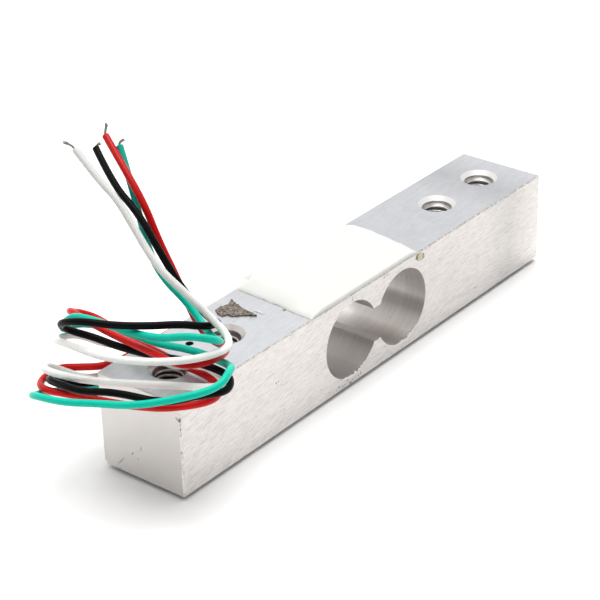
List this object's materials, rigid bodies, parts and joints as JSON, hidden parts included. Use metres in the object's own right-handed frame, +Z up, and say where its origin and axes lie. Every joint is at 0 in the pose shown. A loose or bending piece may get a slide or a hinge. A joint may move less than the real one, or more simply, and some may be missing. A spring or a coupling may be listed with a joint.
{
  "type": "single point load cell",
  "caption": "Small bar load cell: square aluminium bar with a binocular cut-out, tapped holes at each end, silicone over its strain gauges and a loose bundle of coloured leads.",
  "frame": {"origin": "under the middle of the bar in X and Y, on the flat underside of the silicone that the cell rests on", "axes": "+X along the bar from the fixed lead end to the load end, +Y across it towards the side where the leads leave, +Z up, out of the load end's holes"},
  "size_m": [0.0839, 0.0329, 0.0372],
  "materials": {
    "aluminium": "milled satin with fine tool lines, small nicks and scratches, edges just broken",
    "silicone": "cured white silicone, smooth and slightly glossy",
    "gauge_film": "amber polyimide",
    "gauge_foil": "etched constantan foil",
    "board_laminate": "green glass-epoxy laminate",
    "pad_copper": "bare copper pads",
    "solder": "smooth dull solder",
    "enamelled_wire": "enamelled copper wire",
    "tinned_copper": "tinned stranded conductor",
    "insulation_red": "semi-gloss insulation",
    "insulation_white": "semi-gloss insulation",
    "insulation_black": "semi-gloss insulation",
    "insulation_green": "semi-gloss insulation",
    "residue": "rough dried adhesive with dirt in it",
    "amber_adhesive": "thin clear amber adhesive"
  },
  "bodies": {
    "root": {"adhesive_residue": "residue", "adhesive_spot": "amber_adhesive", "back_silicone": "silicone", "board_pads": "pad_copper", "board_solder": "solder", "bottom_silicone": "silicone", "core_end_black": "tinned_copper", "core_end_green": "tinned_copper", "core_end_red": "tinned_copper", "core_end_white": "tinned_copper", "core_inside_black": "tinned_copper", "core_inside_green": "tinned_copper", "core_inside_red": "tinned_copper", "core_inside_white": "tinned_copper", "gauge_film_bottom_far": "gauge_film", "gauge_film_bottom_near": "gauge_film", "gauge_film_top_far": "gauge_film", "gauge_film_top_near": "gauge_film", "gauge_grid_bottom_far": "gauge_foil", "gauge_grid_bottom_near": "gauge_foil", "gauge_grid_top_far": "gauge_foil", "gauge_grid_top_near": "gauge_foil", "gauge_solder_bottom": "solder", "gauge_solder_top": "solder", "jumper_bottom_far_a": "enamelled_wire", "jumper_bottom_far_b": "enamelled_wire", "jumper_bottom_near_a": "enamelled_wire", "jumper_bottom_near_b": "enamelled_wire", "jumper_top_far_a": "enamelled_wire", "jumper_top_far_b": "enamelled_wire", "jumper_top_near_a": "enamelled_wire", "jumper_top_near_b": "enamelled_wire", "lead_black": "insulation_black", "lead_green": "insulation_green", "lead_red": "insulation_red", "lead_white": "insulation_white", "spring_element": "aluminium", "terminal_board": "board_laminate", "top_silicone": "silicone"}
  },
  "joints": []
}
